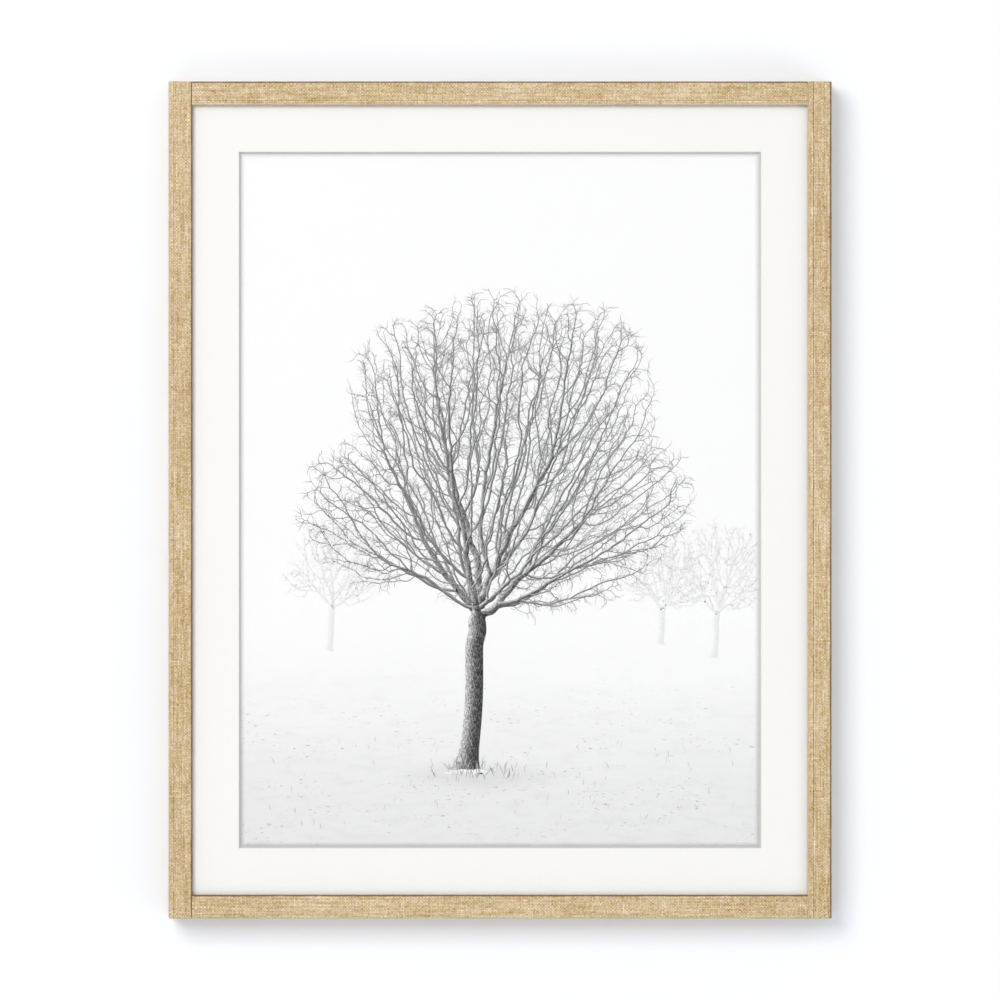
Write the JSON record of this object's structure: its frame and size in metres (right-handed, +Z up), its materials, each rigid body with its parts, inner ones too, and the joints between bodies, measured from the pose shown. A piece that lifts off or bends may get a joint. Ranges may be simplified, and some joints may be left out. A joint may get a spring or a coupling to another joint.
{
  "type": "framed picture",
  "caption": "Upright framed picture: linen-wrapped box frame, wide off-white mat, clear glazing, pale winter print, backing board and toothed hanger.",
  "frame": {"origin": "the point on the wall's plane where the wall's nail bears in the hanger's middle notch, on the picture's centre line", "axes": "+X to the right as the picture is seen from the front, +Y from the room into the wall, +Z up"},
  "size_m": [0.5796, 0.0333, 0.732],
  "materials": {
    "linen": "coarse natural linen, plain weave with slubs",
    "raw_wood": "bare sawn pine",
    "glazing": "clear, low reflection",
    "mat_board": "smooth matte off-white with a cut bevel",
    "print_paper": "matte paper, high-key monochrome winter scene",
    "backing_board": "thin fibreboard, smooth face",
    "steel": "zinc-plated stamped steel",
    "bumper_rubber": "matte black rubber"
  },
  "bodies": {
    "root": {"linen_left": "linen", "linen_right": "linen", "linen_top": "linen", "linen_bottom": "linen", "core_left": "raw_wood", "core_right": "raw_wood", "core_top": "raw_wood", "core_bottom": "raw_wood", "glazing": "glazing", "mat": "mat_board", "print": "print_paper", "backing": "backing_board", "point_left_1": "steel", "point_left_2": "steel", "point_left_3": "steel", "point_left_4": "steel", "point_right_1": "steel", "point_right_2": "steel", "point_right_3": "steel", "point_right_4": "steel", "point_top_1": "steel", "point_top_2": "steel", "point_top_3": "steel", "point_bottom_1": "steel", "point_bottom_2": "steel", "point_bottom_3": "steel", "hanger": "steel", "hanger_screw_left": "steel", "hanger_screw_right": "steel", "bumper_left": "bumper_rubber", "bumper_right": "bumper_rubber"}
  },
  "joints": []
}
